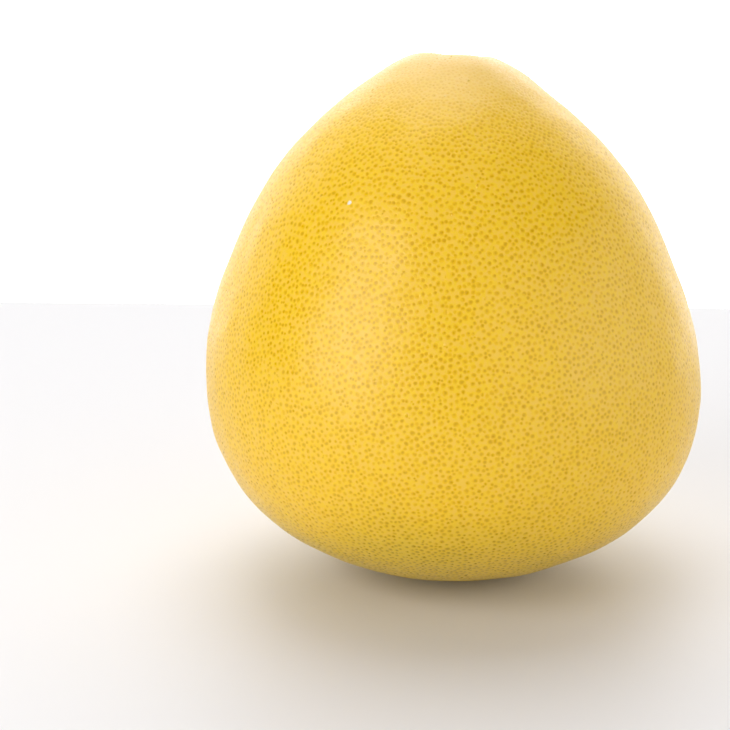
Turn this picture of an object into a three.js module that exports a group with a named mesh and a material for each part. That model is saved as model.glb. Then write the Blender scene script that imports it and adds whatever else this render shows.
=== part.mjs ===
// A whole ripe pomelo, standing on its broad blossom end with its neck leaning back a little.
// Millimetres, +Z up. The origin is on the resting face, under the middle of the fruit.
// The front of the fruit faces -Y.
import * as THREE from "three";

// Driving dimensions of the fruit
const REST_RADIUS = 14; // flat spot that it rests on
const BLOSSOM_SCAR_RADIUS = 4.5;
const BLOSSOM_SCAR_DEPTH = 0.9;
const WIDEST_RADIUS = 82; // of the control polygon, so the fruit itself is 1.4 mm slimmer
const WIDEST_HEIGHT = 58;
const RIM_RADIUS = 10; // round lip of the stem cavity
const RIM_HEIGHT = 170.5;
const SEAT_RADIUS = 6.5; // floor of the stem cavity, under the stem button
const SEAT_HEIGHT = 165.3;

// How the grown fruit departs from a turned shape
const NECK_START = 100; // height where the neck begins to lean
const NECK_TOP = 175;
const NECK_TILT_BACK = 0.16; // slope of the crown away from the front
const NECK_TILT_RIGHT = 0.052;
const NECK_LEAN_BACK = 6;
const NECK_LEAN_LEFT = 0.6;
const SIDE_BOW_LEFT = 2.2; // the middle of the fruit stands this far to the left
const LOBES = [
  // lobes round the fruit, share of the radius, phase in radians, heights between which it grows in
  { count: 2, share: 0.006, phase: 0.6, from: 0, to: 30 },
  { count: 3, share: 0.008, phase: -0.9, from: 60, to: 140 },
  { count: 5, share: 0.003, phase: 2.0, from: 90, to: 150 },
];
const FURROW_COUNT = 7; // shallow creases that run out of the stem cavity
const FURROW_DEPTH = 0.2;
const FURROW_MIDDLE_RADIUS = 11;
const FURROW_REACH = 6;

// Driving dimensions of the stem button
const SEAT_GAP = 0.3; // between the button and the floor of the cavity
const CALYX_RADIUS = 4.5;
const CALYX_THICKNESS = 0.9;
const CALYX_LOBES = 5;
const CALYX_LOBE_SHARE = 0.13;
const STUB_RADIUS = 2.1;
const STUB_HEIGHT = 2;

const FRUIT_SEGMENTS = 84;
const FRUIT_STEPS_PER_SPAN = 3;
const BUTTON_SEGMENTS = 32;
const BUTTON_STEPS_PER_SPAN = 2;

// Control polygon of the fruit's side, as radius and height, from the blossom end to the stem end
const FRUIT_POLYGON = [
  [0, BLOSSOM_SCAR_DEPTH],
  [BLOSSOM_SCAR_RADIUS / 2, BLOSSOM_SCAR_DEPTH],
  [BLOSSOM_SCAR_RADIUS, 0],
  [REST_RADIUS / 2, 0],
  [REST_RADIUS * 0.75, 0],
  [REST_RADIUS, 0],
  [REST_RADIUS * 1.25, 0],
  [52, 11],
  [74.5, 31],
  [WIDEST_RADIUS, WIDEST_HEIGHT],
  [79, 85.5],
  [69, 110.5],
  [59, 131],
  [43, 148.5],
  [31, 158],
  [22, 164.8],
  [15.5, 168.4],
  [RIM_RADIUS, RIM_HEIGHT],
  [RIM_RADIUS * 0.8, SEAT_HEIGHT + 1.8],
  [SEAT_RADIUS, SEAT_HEIGHT],
  [SEAT_RADIUS / 2, SEAT_HEIGHT],
  [0, SEAT_HEIGHT],
];

// Control polygon of the stem button, from its underside up to the cut face of the stub
const BUTTON_POLYGON = [
  [0, 0],
  [CALYX_RADIUS / 2, 0],
  [CALYX_RADIUS, 0],
  [CALYX_RADIUS * 1.1, CALYX_THICKNESS / 2],
  [CALYX_RADIUS * 0.85, CALYX_THICKNESS],
  [STUB_RADIUS * 1.1, CALYX_THICKNESS],
  [STUB_RADIUS, STUB_HEIGHT * 0.8],
  [STUB_RADIUS, STUB_HEIGHT],
  [STUB_RADIUS * 0.8, STUB_HEIGHT],
  [STUB_RADIUS / 2, STUB_HEIGHT],
  [0, STUB_HEIGHT],
];

// 0 below from, 1 above to, and a smooth step between them.
function ramp(from, to, value) {
  return THREE.MathUtils.smoothstep(value, from, to);
}

// Points on the cubic B-spline of a control polygon that starts and ends on the axis.
// The polygon goes on mirrored past the axis, so the curve meets the axis square and level.
function smoothProfile(polygon, stepsPerSpan) {
  const mirrored = ([radius, height]) => [-radius, height];
  const polygonPastAxis = [mirrored(polygon[1]), ...polygon, mirrored(polygon.at(-2))];
  const spans = polygon.length - 1;
  const profile = [];
  for (let step = 0; step <= spans * stepsPerSpan; step++) {
    const span = Math.min(Math.floor(step / stepsPerSpan), spans - 1);
    const u = step / stepsPerSpan - span;
    const weights = [
      (1 - u) ** 3 / 6,
      (3 * u ** 3 - 6 * u ** 2 + 4) / 6,
      (-3 * u ** 3 + 3 * u ** 2 + 3 * u + 1) / 6,
      u ** 3 / 6,
    ];
    const point = new THREE.Vector2();
    weights.forEach((weight, i) => {
      const [radius, height] = polygonPastAxis[span + i];
      point.add(new THREE.Vector2(radius, height).multiplyScalar(weight));
    });
    profile.push(point);
  }
  profile[0].x = 0;
  profile.at(-1).x = 0;
  return profile;
}

// A turned shape with +Z as its axis.
function turned(profile, segments) {
  return new THREE.LatheGeometry(profile, segments).rotateX(Math.PI / 2);
}

// Moves each vertex of a geometry by a function that changes the vector it is given.
function reshape(geometry, change) {
  const positions = geometry.getAttribute("position");
  const point = new THREE.Vector3();
  for (let i = 0; i < positions.count; i++) {
    change(point.fromBufferAttribute(positions, i));
    positions.setXYZ(i, point.x, point.y, point.z);
  }
  return geometry;
}

// Lobes and neck furrows of the rind.
function growUneven(point) {
  const angle = Math.atan2(point.y, point.x);
  const radius = Math.hypot(point.x, point.y);
  let share = 1;
  for (const lobe of LOBES) {
    const grown = ramp(lobe.from, lobe.to, point.z) * ramp(0, 40, radius);
    share += lobe.share * grown * Math.cos(lobe.count * angle + lobe.phase);
  }
  const along = (radius - FURROW_MIDDLE_RADIUS) / FURROW_REACH;
  const onNeck = Math.exp(-(along ** 2)) * ramp(120, 150, point.z);
  const crease = (Math.cos(FURROW_COUNT * angle + Math.sin(2 * angle)) + 1) / 2;
  point.z -= FURROW_DEPTH * onNeck * crease ** 2;
  point.x *= share;
  point.y *= share;
}

// The lean of the neck and the bow of the side, for everything that grows on the fruit.
function leanNeck(point) {
  const neck = ramp(NECK_START, NECK_TOP, point.z);
  const risen = THREE.MathUtils.clamp(point.z / NECK_TOP, 0, 1);
  const bow = Math.sin(Math.PI * risen) ** 2 * ramp(30, 120, point.z);
  const drop = neck * (NECK_TILT_BACK * point.y + NECK_TILT_RIGHT * point.x);
  point.x -= SIDE_BOW_LEFT * bow + NECK_LEAN_LEFT * neck;
  point.y += NECK_LEAN_BACK * neck;
  point.z -= drop;
}

function makeFruit() {
  const geometry = turned(smoothProfile(FRUIT_POLYGON, FRUIT_STEPS_PER_SPAN), FRUIT_SEGMENTS);
  reshape(geometry, growUneven);
  reshape(geometry, leanNeck);
  const rind = new THREE.MeshStandardMaterial({ color: 0xe9ba2d, roughness: 0.45, metalness: 0 });
  const mesh = new THREE.Mesh(geometry, rind);
  mesh.name = "fruit";
  return mesh;
}

// The dry calyx, with the stub of the stem that was cut when the fruit was picked.
function makeStemButton() {
  const geometry = turned(smoothProfile(BUTTON_POLYGON, BUTTON_STEPS_PER_SPAN), BUTTON_SEGMENTS);
  reshape(geometry, (point) => {
    const angle = Math.atan2(point.y, point.x);
    const onCalyx = ramp(STUB_RADIUS, CALYX_RADIUS, Math.hypot(point.x, point.y));
    const share = 1 + CALYX_LOBE_SHARE * onCalyx * Math.cos(CALYX_LOBES * angle);
    point.x *= share;
    point.y *= share;
    point.z += SEAT_HEIGHT + SEAT_GAP;
  });
  reshape(geometry, leanNeck);
  const wood = new THREE.MeshStandardMaterial({ color: 0x6f5a32, roughness: 0.85, metalness: 0 });
  const mesh = new THREE.Mesh(geometry, wood);
  mesh.name = "stem_button";
  return mesh;
}

// Shifts the pieces so that the middle of their box's underside is the origin.
function standOnOrigin(group) {
  const box = new THREE.Box3().setFromObject(group);
  const middle = box.getCenter(new THREE.Vector3());
  for (const mesh of group.children) {
    mesh.geometry.translate(-middle.x, -middle.y, -box.min.z);
  }
}

const pomelo = new THREE.Group();
pomelo.name = "pomelo";
pomelo.add(makeFruit(), makeStemButton());
standOnOrigin(pomelo);

export default pomelo;
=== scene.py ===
"""A whole ripe pomelo on a pale table in soft light. All sizes are in metres."""

import math

import bmesh
import bpy
import numpy as np
from mathutils import Matrix, Vector


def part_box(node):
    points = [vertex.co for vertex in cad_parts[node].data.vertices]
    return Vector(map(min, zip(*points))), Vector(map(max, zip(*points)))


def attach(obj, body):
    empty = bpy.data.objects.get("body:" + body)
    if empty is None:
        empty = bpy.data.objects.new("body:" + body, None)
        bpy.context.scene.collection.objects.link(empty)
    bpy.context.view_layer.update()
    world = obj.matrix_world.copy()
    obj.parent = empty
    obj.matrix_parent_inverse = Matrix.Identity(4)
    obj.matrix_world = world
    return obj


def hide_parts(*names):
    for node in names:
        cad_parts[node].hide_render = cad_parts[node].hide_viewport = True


# The form of the fruit: the same driving sizes as its solid
REST_RADIUS = 0.014
BLOSSOM_SCAR_RADIUS = 0.0045
BLOSSOM_SCAR_DEPTH = 0.0009
WIDEST_RADIUS = 0.082
WIDEST_HEIGHT = 0.058
RIM_RADIUS = 0.010
RIM_HEIGHT = 0.1705
SEAT_RADIUS = 0.0065
SEAT_HEIGHT = 0.1653
NECK_START = 0.100
NECK_TOP = 0.175
NECK_TILT_BACK = 0.16
NECK_TILT_RIGHT = 0.052
NECK_LEAN_BACK = 0.006
NECK_LEAN_LEFT = 0.0006
SIDE_BOW_LEFT = 0.0022
# Lobes round the fruit: how many, share of the radius, phase, and the heights between which each grows in
LOBES = [
    (2, 0.006, 0.6, 0.0, 0.030),
    (3, 0.008, -0.9, 0.060, 0.140),
    (5, 0.003, 2.0, 0.090, 0.150),
]
FURROW_COUNT = 7
FURROW_DEPTH = 0.0002
FURROW_MIDDLE_RADIUS = 0.011
FURROW_REACH = 0.006
FRUIT_STEPS_PER_SPAN = 60

# The form of the stem button: the same driving sizes as its solid
SEAT_GAP = 0.0003
CALYX_RADIUS = 0.0045
CALYX_THICKNESS = 0.0009
CALYX_LOBES = 5
CALYX_LOBE_SHARE = 0.13
STUB_RADIUS = 0.0021
STUB_HEIGHT = 0.002
BUTTON_STEPS_PER_SPAN = 12
BUTTON_SEGMENTS = 150

# Fine relief of the stem button
CALYX_TIP_LIFT = 0.00035
CALYX_RIBS = 15
CALYX_RIB_HEIGHT = 0.00014
STUB_GROOVES = 11
STUB_GROOVE_SHARE = 0.035
CUT_RING_RADIANS = 15  # of the rings' wave, from the stub's axis to its edge
CUT_RING_HEIGHT = 0.00005
CUT_PITH_DEPTH = 0.0001
BUTTON_ROUGHNESS = 0.8  # times the rind's ripple, which is also made finer for the button
BUTTON_RIPPLE_FINENESS = 6

# Oil glands of the rind, each in a shallow dimple. Spacings are between neighbours, before crowding.
GLAND_SPACING = 0.00194
GLAND_UNEVENNESS = 0.28  # random shift, as a share of the mean distance
GLAND_RELAX_PASSES = 2
GLAND_RADIUS = 0.00082
GLAND_SIZES = (0.70, 1.12)  # smallest and largest share of that radius
GLAND_SHARE_OF_GAP = 0.55  # largest radius, as a share of the distance to the next gland
DIMPLE_DEPTH = 0.00006
CROWDING_AT_NECK = 0.9  # extra glands, as a share, above the second of these heights
CROWDING_HEIGHTS = (0.130, 0.170)
FAR = (9.0, 0.0, 0.0)  # from a gland, in gland radii, for skin that has none

# Plain skin of the two ends, inside these radii, and how far the brown and green colours reach there
PLAIN_SPACING = 0.0009
SCAR_EDGE_RADIUS = 0.0052
SEAT_EDGE_RADIUS = 0.0078
SCAR_FADE = (0.0030, 0.0058)
SEAT_FADE = (0.0045, 0.0100)

# Low, broad ripple of the rind
RIPPLE_WAVES = 28
RIPPLE_HEIGHT = 0.00009
RIPPLE_LENGTHS = (0.009, 0.030)
RIPPLE_START_HEIGHT = 0.012  # full from here up, and none where the fruit rests

# Heights between which the rind's colour changes: greener, and darker with painted shade, towards the base;
# a painted pale reflection at the neck, which also fades its glands
GREEN_AND_SHADE_HEIGHTS = (0.070, 0.030)
GREEN_AND_SHADE_UNEVENNESS = 0.04
PAINTED_REFLECTION_HEIGHTS = (0.150, 0.172)
GLAND_FADE_UNDER_REFLECTION_HEIGHTS = (0.148, 0.168)
# A pale fleck on the front
FLECK_PLACE = (-0.0315, -0.0483, 0.1319)
FLECK_RADII = (0.0017, 0.0012)
FLECK_RAGGEDNESS = 0.0016

# The camera: the height that it aims at, and where that point is in a square picture, in pixels
PICTURE_SIZE = 730
AIM_HEIGHT = 0.084
AIM_PIXEL = (452.5, 318)
VIEW_ELEVATION = math.radians(14)
VIEW_DISTANCE = 0.8
PIXELS_PER_METRE = 3060
SENSOR_WIDTH = 36  # millimetres

TABLE_BACK_EDGE = 0.362
TABLE_REACH = 2.5  # to the left, to the right and to the front

# Colours, as linear red, green, blue and alpha
SKIN_PEACH = (0.92, 0.58, 0.055, 1)
SKIN_GOLD = (0.92, 0.59, 0.018, 1)
# Painted reflection: a whitish veil mixed into the rind's colour at the neck
NECK_PAINTED_REFLECTION = (0.86, 0.60, 0.26, 1)
GLAND_EDGE = (0.90, 0.55, 0.003, 1)
GLAND_CORE_DARK = (0.70, 0.385, 0.0005, 1)
GLAND_CORE_LIGHT = (0.83, 0.475, 0.0005, 1)
FLECK = (0.90, 0.86, 0.72, 1)
# Greener rind and gland cores towards the base: the green is the rind's own, and the extra darkness is
# painted shade
GREEN_AND_SHADE_SKIN = (0.66, 0.49, 0.030, 1)
GREEN_AND_SHADE_CORE = (0.32, 0.22, 0.001, 1)
SCAR_BROWN = (0.20, 0.12, 0.05, 1)
SCAR_TAN = (0.42, 0.29, 0.11, 1)
SEAT_GREEN = (0.50, 0.42, 0.08, 1)
CALYX_DARK = (0.09, 0.055, 0.025, 1)
CALYX_LIGHT = (0.26, 0.18, 0.09, 1)
CALYX_OLIVE = (0.17, 0.16, 0.06, 1)
CUT_PITH = (0.22, 0.13, 0.06, 1)
CUT_WOOD = (0.45, 0.33, 0.19, 1)
TABLE_SHADE = (0.785, 0.775, 0.79, 1)
TABLE_LIGHT = (0.81, 0.80, 0.81, 1)

# Soft studio light from behind, above and in front. Each part of the surround has the axis that it faces
# along, the share of that axis where it begins and where it is full, and its strength.
SURROUND = [("Y", 0.2, 0.8, 1.65), ("Z", 0.5, 0.95, 0.3), ("Y", -0.3, -0.9, 0.35)]
# The lamps, with their place, size and power. All of them point at the middle of the fruit.
LAMP_TARGET = (0, 0, 0.09)
LAMPS = [
    ("above", (-0.10, 0.35, 1.25), (0.9, 0.9), 4.8),
    ("behind", (0, 1.5, 0.85), (1.6, 0.8), 4.2),
    ("front_left", (-0.90, -0.82, 0.52), (0.9, 1.0), 10.1),
    ("front_right", (0.90, -1.10, 0.50), (1.2, 1.0), 3.0),
    ("right", (1.5, -0.25, 0.4), (1.4, 0.9), 6.4),
]

# Control polygon of the fruit's side, as radius and height, from the blossom end to the stem end
FRUIT_POLYGON = [
    (0, BLOSSOM_SCAR_DEPTH),
    (BLOSSOM_SCAR_RADIUS / 2, BLOSSOM_SCAR_DEPTH),
    (BLOSSOM_SCAR_RADIUS, 0),
    (REST_RADIUS / 2, 0),
    (REST_RADIUS * 0.75, 0),
    (REST_RADIUS, 0),
    (REST_RADIUS * 1.25, 0),
    (0.052, 0.011),
    (0.0745, 0.031),
    (WIDEST_RADIUS, WIDEST_HEIGHT),
    (0.079, 0.0855),
    (0.069, 0.1105),
    (0.059, 0.131),
    (0.043, 0.1485),
    (0.031, 0.158),
    (0.022, 0.1648),
    (0.0155, 0.1684),
    (RIM_RADIUS, RIM_HEIGHT),
    (RIM_RADIUS * 0.8, SEAT_HEIGHT + 0.0018),
    (SEAT_RADIUS, SEAT_HEIGHT),
    (SEAT_RADIUS / 2, SEAT_HEIGHT),
    (0, SEAT_HEIGHT),
]
# Control polygon of the stem button, from its underside up to the cut face of the stub
BUTTON_POLYGON = [
    (0, 0),
    (CALYX_RADIUS / 2, 0),
    (CALYX_RADIUS, 0),
    (CALYX_RADIUS * 1.1, CALYX_THICKNESS / 2),
    (CALYX_RADIUS * 0.85, CALYX_THICKNESS),
    (STUB_RADIUS * 1.1, CALYX_THICKNESS),
    (STUB_RADIUS, STUB_HEIGHT * 0.8),
    (STUB_RADIUS, STUB_HEIGHT),
    (STUB_RADIUS * 0.8, STUB_HEIGHT),
    (STUB_RADIUS / 2, STUB_HEIGHT),
    (0, STUB_HEIGHT),
]

chance = np.random.default_rng(20)


def ramp(start, end, value):
    """0 below start, 1 above end, and a smooth step between them."""
    t = np.clip((value - start) / (end - start), 0, 1)
    return t * t * (3 - 2 * t)


def smooth_profile(polygon, steps_per_span):
    """Points on the cubic B-spline of a control polygon that starts and ends on the axis."""
    points = np.array(polygon, float)
    mirror = np.array([-1, 1])
    points = np.vstack([points[1] * mirror, points, points[-2] * mirror])
    spans = len(polygon) - 1
    place = np.arange(spans * steps_per_span + 1) / steps_per_span
    span = np.minimum(place.astype(int), spans - 1)
    u = (place - span)[:, None]
    weights = [(1 - u) ** 3, 3 * u**3 - 6 * u**2 + 4, -3 * u**3 + 3 * u**2 + 3 * u + 1, u**3]
    profile = sum(weight * points[span + i] for i, weight in enumerate(weights)) / 6
    profile[0, 0] = 0
    profile[-1, 0] = 0
    return profile


def grow_uneven(radius, height, angle):
    """Lobes and neck furrows of the rind: the new radius and height."""
    share = np.ones_like(radius)
    for count, lobe_share, phase, start, end in LOBES:
        grown = ramp(start, end, height) * ramp(0, 0.040, radius)
        share += lobe_share * grown * np.cos(count * angle + phase)
    along = (radius - FURROW_MIDDLE_RADIUS) / FURROW_REACH
    on_neck = np.exp(-(along**2)) * ramp(0.120, 0.150, height)
    crease = (np.cos(FURROW_COUNT * angle + np.sin(2 * angle)) + 1) / 2
    return radius * share, height - FURROW_DEPTH * on_neck * crease**2


def lean_neck(points):
    """The lean of the neck and the bow of the side, for all that grows on the fruit."""
    x, y, z = points.T
    neck = ramp(NECK_START, NECK_TOP, z)
    bow = np.sin(math.pi * np.clip(z / NECK_TOP, 0, 1)) ** 2 * ramp(0.030, 0.120, z)
    drop = neck * (NECK_TILT_BACK * y + NECK_TILT_RIGHT * x)
    left = SIDE_BOW_LEFT * bow + NECK_LEAN_LEFT * neck
    return np.stack([x - left, y + NECK_LEAN_BACK * neck, z - drop], 1)


def around_axis(radius, height, angle):
    return np.stack([radius * np.cos(angle), radius * np.sin(angle), height], 1)


def outward_normals(points, triangles):
    a, b, c = (points[triangles[:, k]] for k in range(3))
    normals = np.zeros_like(points)
    facing = np.cross(b - a, c - a)
    for k in range(3):
        np.add.at(normals, triangles[:, k], facing)
    return normals / np.linalg.norm(normals, axis=1)[:, None]


def ripple(points):
    """Low, broad unevenness of the rind as a sum of waves in random directions."""
    height = np.zeros(len(points))
    for _ in range(RIPPLE_WAVES):
        direction = chance.normal(size=3)
        direction /= np.linalg.norm(direction)
        length = chance.uniform(*RIPPLE_LENGTHS)
        height += np.sin(points @ direction * (2 * math.pi / length) + chance.uniform(0, 2 * math.pi))
    return height * RIPPLE_HEIGHT / math.sqrt(RIPPLE_WAVES / 2)


def spiral_on_ball(count):
    """Evenly spread points on a unit ball, from its bottom to its top."""
    i = np.arange(count)
    height = (2 * i + 1) / count - 1
    turn = i * math.pi * (3 - math.sqrt(5))
    return around_axis(np.sqrt(1 - height**2), height, turn)


def hull_triangles(points):
    """The triangles of the convex hull, as rows of three point numbers that turn left seen from outside."""
    builder = bmesh.new()
    for point in points:
        builder.verts.new(point)
    builder.verts.index_update()
    bmesh.ops.convex_hull(builder, input=builder.verts[:], use_existing_faces=False)
    triangles = np.array([[vert.index for vert in face.verts] for face in builder.faces])
    builder.free()
    return triangles


def relaxed(points, moving):
    """The points on the ball, each of the moving ones half way to the middle of its neighbours."""
    triangles = hull_triangles(points)
    total = np.zeros_like(points)
    count = np.zeros(len(points))
    for k in range(3):
        start = triangles[:, k]
        np.add.at(total, start, points[triangles[:, (k + 1) % 3]])
        np.add.at(count, start, 1)
    near = total / np.maximum(count, 1)[:, None]
    used = moving & (count > 0)
    points = points.copy()
    points[used] += 0.5 * (near[used] - points[used])
    return points / np.linalg.norm(points, axis=1)[:, None]


def scatter_glands():
    """Places for the oil glands and for the plain skin at both ends of the fruit.

    They are spread on a unit ball whose bottom to top matches the fruit's bottom to top by area, with
    more glands to the area at the neck.
    Returns the places on the fruit, their triangles, and which places are glands.
    """
    profile = smooth_profile(FRUIT_POLYGON, FRUIT_STEPS_PER_SPAN)
    radius, height = profile.T
    bands = math.pi * (radius[1:] + radius[:-1]) * np.hypot(np.diff(radius), np.diff(height))
    crowding = 1 + CROWDING_AT_NECK * ramp(*CROWDING_HEIGHTS, height[1:])
    crowd = np.cumsum(np.concatenate([[0], bands * crowding]))
    share = crowd / crowd[-1]
    scar_share = share[np.argmax(radius > SCAR_EDGE_RADIUS)]
    seat_share = share[np.flatnonzero(radius > SEAT_EDGE_RADIUS)[-1]]

    def area_share(points):
        return (points[:, 2] + 1) / 2

    count = int(crowd[-1] / (GLAND_SPACING**2 * math.sqrt(3) / 2))
    glands = spiral_on_ball(count)
    glands += chance.normal(size=glands.shape) * GLAND_UNEVENNESS * math.sqrt(4 * math.pi / count)
    glands /= np.linalg.norm(glands, axis=1)[:, None]
    glands = glands[(area_share(glands) > scar_share) & (area_share(glands) < seat_share)]
    plain = spiral_on_ball(int(bands.sum() / PLAIN_SPACING**2))
    plain = plain[(area_share(plain) < scar_share) | (area_share(plain) > seat_share)]
    points = np.vstack([glands, plain])
    is_gland = np.arange(len(points)) < len(glands)
    for _ in range(GLAND_RELAX_PASSES):
        points = relaxed(points, is_gland)
    triangles = hull_triangles(points)

    used = np.unique(triangles)
    renumber = np.zeros(len(points), int)
    renumber[used] = np.arange(len(used))
    points = points[used]
    at = area_share(points)
    angle = np.arctan2(points[:, 1], points[:, 0])
    r, z = grow_uneven(np.interp(at, share, radius), np.interp(at, share, height), angle)
    return lean_neck(around_axis(r, z, angle)), renumber[triangles], is_gland[used]


def dimpled_skin(places, triangles, is_gland):
    """The fruit's fine mesh: round each place a cell whose corners are the middles of the triangles there.

    The middle of a gland's cell lies lower than its corners, so each gland sits in a dimple.
    Returns the points, the faces, and at each corner of each face how far it is from its own gland and
    from the gland of the next cell. That is counted in gland radii, so a material can draw round glands.
    """
    start = triangles.ravel()
    end = np.roll(triangles, -1, axis=1).ravel()
    own = len(places) + np.arange(len(start)) // 3
    key = start * len(places) + end
    order = np.argsort(key)
    across = own[order[np.searchsorted(key[order], end * len(places) + start)]]

    gap = np.full(len(places), 1.0)
    np.minimum.at(gap, start, np.linalg.norm(places[end] - places[start], axis=1))
    size = GLAND_RADIUS * chance.uniform(*GLAND_SIZES, len(places))
    size = np.minimum(size, GLAND_SHARE_OF_GAP * gap)

    normals = outward_normals(places, triangles)
    middles = places[triangles].mean(axis=1)
    lowered = places - normals * (DIMPLE_DEPTH * is_gland * size / GLAND_RADIUS)[:, None]
    points = np.vstack([lowered, middles])
    outward = np.vstack([normals, normals[triangles].mean(axis=1)])
    points += outward * (ripple(points) * ramp(0, RIPPLE_START_HEIGHT, points[:, 2]))[:, None]

    faces = np.stack([start, across, own], 1)
    offsets = []
    for gland in (start, end):
        offset = (points[faces] - points[gland][:, None]) / size[gland][:, None, None]
        offset[~is_gland[gland]] = FAR
        offsets.append(offset)
    return points, faces, offsets


def mesh_object(name, points, face_groups):
    """A smooth mesh object of faces that come in groups with the same number of corners."""
    mesh = bpy.data.meshes.new(name)
    loops = np.concatenate([faces.ravel() for faces in face_groups])
    sizes = np.concatenate([np.full(len(faces), faces.shape[1]) for faces in face_groups])
    starts = np.concatenate([[0], np.cumsum(sizes)[:-1]])
    mesh.vertices.add(len(points))
    mesh.vertices.foreach_set("co", points.ravel().astype(np.float32))
    mesh.loops.add(len(loops))
    mesh.loops.foreach_set("vertex_index", loops.astype(np.int32))
    mesh.polygons.add(len(sizes))
    mesh.polygons.foreach_set("loop_start", starts.astype(np.int32))
    mesh.update(calc_edges=True)
    mesh.validate()
    mesh.polygons.foreach_set("use_smooth", np.ones(len(sizes), bool))
    obj = bpy.data.objects.new(name, mesh)
    bpy.context.scene.collection.objects.link(obj)
    return obj


def keep(obj, name, kind, domain, field, values):
    """Stores numbers on a mesh for its material to read."""
    attribute = obj.data.attributes.new(name, kind, domain)
    attribute.data.foreach_set(field, np.asarray(values, np.float32).ravel())


def add_node(tree, kind, values=None, **settings):
    """Adds a shader node; values are numbers, or outputs to link, for its inputs by name or number."""
    node = tree.nodes.new(kind)
    for name, value in settings.items():
        setattr(node, name, value)
    for name, value in (values or {}).items():
        if isinstance(value, bpy.types.NodeSocket):
            tree.links.new(value, node.inputs[name])
        else:
            node.inputs[name].default_value = value
    return node


def step_node(tree, value, start, end, low=0.0, high=1.0):
    """A smooth step of a value, from low at start to high at end."""
    node = add_node(
        tree,
        "ShaderNodeMapRange",
        {"Value": value, "From Min": start, "From Max": end, "To Min": low, "To Max": high},
        interpolation_type="SMOOTHSTEP",
    )
    return node.outputs["Result"]


def math_node(tree, operation, *values):
    node = add_node(tree, "ShaderNodeMath", dict(enumerate(values)), operation=operation)
    return node.outputs[0]


def vector_length(tree, vector):
    return add_node(tree, "ShaderNodeVectorMath", {0: vector}, operation="LENGTH").outputs["Value"]


def mix_colour(tree, share, first, second):
    node = add_node(tree, "ShaderNodeMix", {"Factor": share, 6: first, 7: second}, data_type="RGBA")
    return node.outputs[2]


def noise_node(tree, place, scale, detail=2.0, roughness=0.5):
    values = {"Vector": place, "Scale": scale, "Detail": detail, "Roughness": roughness}
    return add_node(tree, "ShaderNodeTexNoise", values).outputs["Fac"]


def kept(tree, name):
    return add_node(tree, "ShaderNodeAttribute", attribute_name=name)


def kept_number(tree, name):
    return kept(tree, name).outputs["Fac"]


def new_material(name):
    material = bpy.data.materials.new(name)
    material.use_nodes = True
    tree = material.node_tree
    shader = tree.nodes["Principled BSDF"]
    return material, tree, shader


def from_glands(tree, wobble):
    """The distance from the nearer of two glands in gland radii, a little uneven."""
    near = kept(tree, "from_gland").outputs["Vector"]
    beside = kept(tree, "from_next_gland").outputs["Vector"]
    distance = math_node(tree, "MINIMUM", vector_length(tree, near), vector_length(tree, beside))
    return math_node(tree, "ADD", distance, step_node(tree, wobble, 0.3, 0.7, -0.15, 0.15))


def skin_with_glands(tree, place, mottle, core, halo, wobble):
    """Golden glands in peach-yellow skin, greener towards the base and darkened there with painted shade; at
    the neck a painted pale reflection, with the glands faded under it.
    """
    height = add_node(tree, "ShaderNodeSeparateXYZ", {0: place}).outputs["Z"]
    patches = noise_node(tree, place, 26, 3)
    # Towards the base the rind turns greener, its own colour, and darker, which is painted shade
    uneven_height = math_node(tree, "MULTIPLY_ADD", patches, GREEN_AND_SHADE_UNEVENNESS, height)
    green = step_node(tree, uneven_height, *GREEN_AND_SHADE_HEIGHTS, 0.0, 0.7)
    # Painted reflection: the neck is whitened and its glands are faded, as under a veil of reflected light
    pale = step_node(tree, height, *PAINTED_REFLECTION_HEIGHTS, 0.0, 0.5)
    clear = step_node(tree, height, *GLAND_FADE_UNDER_REFLECTION_HEIGHTS, 1.0, 0.3)

    skin = mix_colour(tree, step_node(tree, mottle, 0.44, 0.58), SKIN_PEACH, SKIN_GOLD)
    skin = mix_colour(tree, math_node(tree, "MULTIPLY", halo, 0.85), skin, GLAND_EDGE)
    # Painted shade together with the green: darker skin and gland cores towards the base
    skin = mix_colour(tree, green, skin, GREEN_AND_SHADE_SKIN)
    # The painted pale reflection at the neck
    skin = mix_colour(tree, pale, skin, NECK_PAINTED_REFLECTION)
    gland = mix_colour(tree, step_node(tree, wobble, 0.35, 0.65), GLAND_CORE_DARK, GLAND_CORE_LIGHT)
    gland = mix_colour(tree, green, gland, GREEN_AND_SHADE_CORE)
    # Gland cores faded at the neck under the painted reflection
    return mix_colour(tree, math_node(tree, "MULTIPLY", core, clear), skin, gland)


def with_fleck(tree, colour, place, mottle):
    """The colour with a small, ragged, pale fleck on it."""
    apart = add_node(tree, "ShaderNodeVectorMath", {0: place, 1: FLECK_PLACE}, operation="DISTANCE")
    ragged = math_node(tree, "MULTIPLY_ADD", mottle, FLECK_RAGGEDNESS, apart.outputs["Value"])
    return mix_colour(tree, step_node(tree, ragged, *FLECK_RADII), colour, FLECK)


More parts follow.
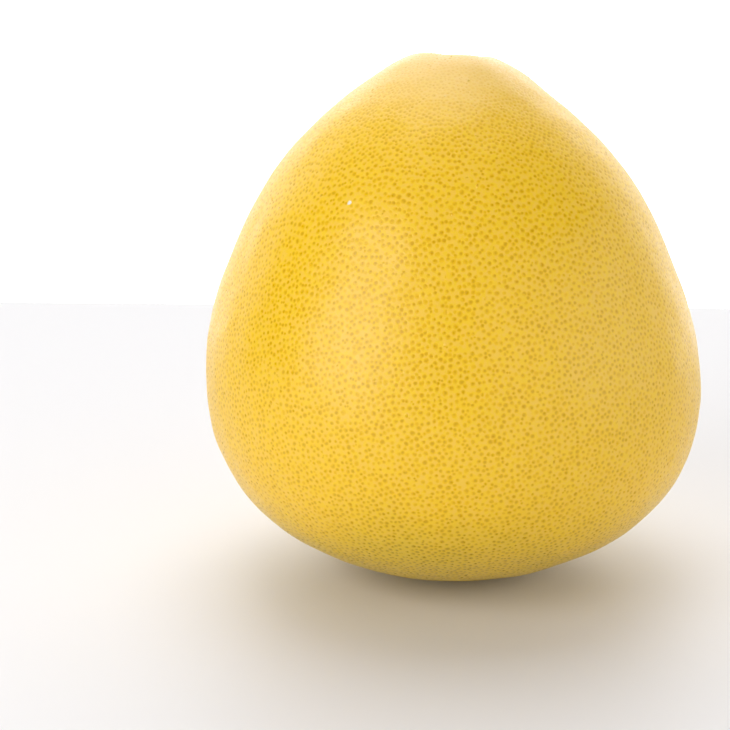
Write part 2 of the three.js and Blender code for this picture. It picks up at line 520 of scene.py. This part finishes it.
def rind_material():
    """Waxy citrus rind with oil glands, a corky brown blossom scar and a green floor of the stem cavity."""
    material, tree, shader = new_material("rind")
    place = add_node(tree, "ShaderNodeTexCoord").outputs["Object"]
    wobble = noise_node(tree, place, 700, 1)
    mottle = noise_node(tree, place, 650, 2, 0.6)
    cork = noise_node(tree, place, 420, 2)
    grain = noise_node(tree, place, 1500, 2)
    distance = from_glands(tree, wobble)
    core = step_node(tree, distance, 1.05, 0.20)
    halo = step_node(tree, distance, 1.15, 0.80)

    colour = skin_with_glands(tree, place, mottle, core, halo, wobble)
    scar = math_node(tree, "MULTIPLY_ADD", cork, 0.8, kept_number(tree, "scar"))
    scar_colour = mix_colour(tree, step_node(tree, cork, 0.35, 0.65), SCAR_BROWN, SCAR_TAN)
    colour = mix_colour(tree, step_node(tree, scar, 0.75, 1.35), colour, scar_colour)
    seat = math_node(tree, "MULTIPLY_ADD", mottle, 0.3, kept_number(tree, "seat"))
    colour = mix_colour(tree, step_node(tree, seat, 0.45, 0.95), colour, SEAT_GREEN)
    colour = with_fleck(tree, colour, place, mottle)
    tree.links.new(colour, shader.inputs["Base Color"])

    wax = step_node(tree, mottle, 0.3, 0.7, 0.30, 0.38)
    rough = math_node(tree, "ADD", wax, step_node(tree, scar, 0.75, 1.35, 0, 0.3))
    rough = math_node(tree, "MULTIPLY_ADD", core, -0.05, rough)
    tree.links.new(rough, shader.inputs["Roughness"])
    shader.inputs["IOR"].default_value = 1.46
    shader.inputs["Subsurface Weight"].default_value = 0.12
    shader.inputs["Subsurface Radius"].default_value = (0.003, 0.0018, 0.0006)
    shader.inputs["Subsurface Scale"].default_value = 1.0

    relief = math_node(tree, "MULTIPLY_ADD", grain, 0.35, math_node(tree, "MULTIPLY", halo, -0.6))
    bump = add_node(tree, "ShaderNodeBump", {"Height": relief, "Strength": 0.5, "Distance": 0.00012})
    tree.links.new(bump.outputs["Normal"], shader.inputs["Normal"])
    return material


def dry_calyx_material():
    """Dry brown calyx and the grey-brown wood of the cut stub."""
    material, tree, shader = new_material("dry_calyx")
    place = add_node(tree, "ShaderNodeTexCoord").outputs["Object"]
    fibres = noise_node(tree, place, 1400, 4, 0.65)
    blotches = noise_node(tree, place, 350, 2)
    colour = mix_colour(tree, step_node(tree, fibres, 0.35, 0.65), CALYX_DARK, CALYX_LIGHT)
    colour = mix_colour(tree, step_node(tree, blotches, 0.5, 0.7, 0, 0.6), colour, CALYX_OLIVE)
    wood = mix_colour(tree, kept_number(tree, "cut_rings"), CUT_PITH, CUT_WOOD)
    colour = mix_colour(tree, kept_number(tree, "cut_face"), colour, wood)
    tree.links.new(colour, shader.inputs["Base Color"])
    tree.links.new(step_node(tree, fibres, 0.3, 0.7, 0.75, 0.95), shader.inputs["Roughness"])
    bump = add_node(tree, "ShaderNodeBump", {"Height": fibres, "Strength": 0.6, "Distance": 0.00015})
    tree.links.new(bump.outputs["Normal"], shader.inputs["Normal"])
    return material


def table_material():
    material, tree, shader = new_material("table")
    place = add_node(tree, "ShaderNodeTexCoord").outputs["Object"]
    haze = noise_node(tree, place, 3, 2)
    tree.links.new(mix_colour(tree, haze, TABLE_SHADE, TABLE_LIGHT), shader.inputs["Base Color"])
    shader.inputs["Roughness"].default_value = 0.55
    return material


def turned_grid(profile, segments):
    """Radius, height and angle of the points of a turned shape, and its faces.

    The first and last points of the profile are on the axis and become one point each.
    """
    angles = np.arange(segments) * (2 * math.pi / segments)
    inner = profile[1:-1]
    radius = np.concatenate([[0], np.repeat(inner[:, 0], segments), [0]])
    height = np.concatenate([profile[:1, 1], np.repeat(inner[:, 1], segments), profile[-1:, 1]])
    angle = np.concatenate([[0], np.tile(angles, len(inner)), [0]])
    ring = 1 + np.arange(len(inner) * segments).reshape(-1, segments)
    beside = np.roll(ring, -1, axis=1)
    strips = np.stack([ring[:-1], beside[:-1], beside[1:], ring[1:]], 2).reshape(-1, 4)
    bottom = np.stack([np.zeros(segments, int), beside[0], ring[0]], 1)
    top = np.stack([np.full(segments, len(radius) - 1), ring[-1], beside[-1]], 1)
    return radius, height, angle, [strips, bottom, top]


def make_fruit():
    points, faces, offsets = dimpled_skin(*scatter_glands())
    fruit = mesh_object("rind", points, [faces])
    for name, offset in zip(("from_gland", "from_next_gland"), offsets):
        keep(fruit, name, "FLOAT_VECTOR", "CORNER", "vector", offset)
    from_axis = np.hypot(points[:, 0], points[:, 1])
    on_base = 1 - ramp(0.002, 0.004, points[:, 2])
    keep(fruit, "scar", "FLOAT", "POINT", "value", (1 - ramp(*SCAR_FADE, from_axis)) * on_base)
    seat = lean_neck(np.array([[0, 0, SEAT_HEIGHT]]))[0]
    from_seat = np.linalg.norm(points - seat, axis=1)
    keep(fruit, "seat", "FLOAT", "POINT", "value", 1 - ramp(*SEAT_FADE, from_seat))
    fruit.data.materials.append(rind_material())
    return fruit


def make_stem_button():
    """The dry calyx, ribbed and with raised tips, and the grooved stub with its ringed, cut face."""
    profile = smooth_profile(BUTTON_POLYGON, BUTTON_STEPS_PER_SPAN)
    radius, height, angle, faces = turned_grid(profile, BUTTON_SEGMENTS)
    on_calyx = ramp(STUB_RADIUS, CALYX_RADIUS, radius)
    on_tips = ramp(CALYX_RADIUS * 0.75, CALYX_RADIUS * 1.05, radius)
    on_top = ramp(CALYX_THICKNESS * 0.4, CALYX_THICKNESS * 0.9, height)
    on_stub = ramp(CALYX_THICKNESS, STUB_HEIGHT * 0.7, height)
    on_cut = ramp(STUB_HEIGHT * 0.97, STUB_HEIGHT * 0.999, height)
    on_pith = 1 - ramp(0, STUB_RADIUS * 0.3, radius)

    lobes = np.cos(CALYX_LOBES * angle)
    ribs = np.cos(CALYX_RIBS * angle + 1.5 * np.sin(2 * angle))
    grooves = np.cos(STUB_GROOVES * angle + 2 * np.sin(3 * angle))
    rings = np.cos(radius / STUB_RADIUS * CUT_RING_RADIANS) * 0.5 + 0.5

    share = 1 + CALYX_LOBE_SHARE * on_calyx * lobes
    share += STUB_GROOVE_SHARE * on_stub * (1 - on_cut) * grooves
    height = height + CALYX_RIB_HEIGHT * on_calyx * on_top * ribs
    height += CALYX_TIP_LIFT * on_tips * (1 + lobes) / 2
    height += on_cut * (CUT_RING_HEIGHT * rings - CUT_PITH_DEPTH * on_pith)

    points = around_axis(radius * share, height, angle)
    roughness = ripple(points * BUTTON_RIPPLE_FINENESS) * (on_calyx * on_top + on_stub)
    points[:, 2] += roughness * BUTTON_ROUGHNESS + SEAT_HEIGHT + SEAT_GAP
    button = mesh_object("calyx", lean_neck(points), faces)
    keep(button, "cut_face", "FLOAT", "POINT", "value", on_cut)
    keep(button, "cut_rings", "FLOAT", "POINT", "value", rings)
    button.data.materials.append(dry_calyx_material())
    return button


def stand_where_solid_stands(pieces, fruit):
    """Shifts the pieces so that the fruit's middle and underside are those of its solid."""
    corners = np.array([fruit.matrix_world @ Vector(corner) for corner in fruit.bound_box])
    low, high = corners.min(axis=0), corners.max(axis=0)
    solid_low, solid_high = (np.array(corner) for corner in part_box("fruit"))
    shift = (solid_low + solid_high - low - high) / 2
    shift[2] = solid_low[2] - low[2]
    for piece in pieces:
        piece.data.transform(Matrix.Translation(shift))


def aim(obj, place, direction):
    obj.location = place
    obj.rotation_euler = Vector(direction).to_track_quat("-Z", "Y").to_euler()


def make_lamp(name, place, size, power):
    lamp = bpy.data.lights.new(name, "AREA")
    lamp.shape = "RECTANGLE"
    lamp.size, lamp.size_y = size
    lamp.energy = power
    light = bpy.data.objects.new(name, lamp)
    bpy.context.scene.collection.objects.link(light)
    aim(light, place, Vector(LAMP_TARGET) - Vector(place))


def make_camera():
    """The camera at the photograph's angle, turned a little so that the fruit stands where it does there."""
    focal_pixels = PIXELS_PER_METRE * VIEW_DISTANCE
    ahead = Vector((0, math.cos(VIEW_ELEVATION), -math.sin(VIEW_ELEVATION)))
    right = Vector((1, 0, 0))
    up = right.cross(ahead)
    off_right = (AIM_PIXEL[0] - PICTURE_SIZE / 2) / focal_pixels
    off_down = (AIM_PIXEL[1] - PICTURE_SIZE / 2) / focal_pixels
    camera = bpy.data.objects.new("camera", bpy.data.cameras.new("camera"))
    camera.data.sensor_width = SENSOR_WIDTH
    camera.data.lens = SENSOR_WIDTH * focal_pixels / PICTURE_SIZE
    camera.data.clip_end = 20
    place = Vector((0, 0, AIM_HEIGHT)) - ahead * VIEW_DISTANCE
    aim(camera, place, ahead - right * off_right + up * off_down)
    bpy.context.scene.collection.objects.link(camera)
    bpy.context.scene.camera = camera


def make_table():
    corners = [
        (-TABLE_REACH, -TABLE_REACH, 0),
        (TABLE_REACH, -TABLE_REACH, 0),
        (TABLE_REACH, TABLE_BACK_EDGE, 0),
        (-TABLE_REACH, TABLE_BACK_EDGE, 0),
    ]
    table = mesh_object("table", np.array(corners, float), [np.array([[0, 1, 2, 3]])])
    table.data.materials.append(table_material())


def make_studio():
    """The lamps and the surround, which is plain white to the camera."""
    scene = bpy.context.scene
    scene.view_settings.view_transform = "Standard"
    scene.world = bpy.data.worlds.new("studio")
    scene.world.use_nodes = True
    tree = scene.world.node_tree
    direction = add_node(tree, "ShaderNodeTexCoord").outputs["Generated"]
    along = add_node(tree, "ShaderNodeSeparateXYZ", {0: direction}).outputs
    strength = add_node(tree, "ShaderNodeLightPath").outputs["Is Camera Ray"]
    for axis, start, end, power in SURROUND:
        strength = math_node(tree, "ADD", strength, step_node(tree, along[axis], start, end, 0.0, power))
    tree.links.new(strength, tree.nodes["Background"].inputs["Strength"])
    tree.nodes["Background"].inputs["Color"].default_value = (1, 1, 1, 1)
    for lamp in LAMPS:
        make_lamp(*lamp)


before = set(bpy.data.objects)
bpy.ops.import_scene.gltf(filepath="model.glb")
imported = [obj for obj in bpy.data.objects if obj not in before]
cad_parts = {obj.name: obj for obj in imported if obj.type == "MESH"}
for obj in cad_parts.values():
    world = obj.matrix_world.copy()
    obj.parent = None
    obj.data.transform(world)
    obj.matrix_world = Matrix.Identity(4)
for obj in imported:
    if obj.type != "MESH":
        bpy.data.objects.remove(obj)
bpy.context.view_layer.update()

fruit = make_fruit()
stem_button = make_stem_button()
stand_where_solid_stands([fruit, stem_button], fruit)
for piece, node, slot in [(fruit, "fruit", "rind"), (stem_button, "stem_button", "dry_calyx")]:
    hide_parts(node)
    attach(piece, "root")

make_table()
make_studio()
make_camera()
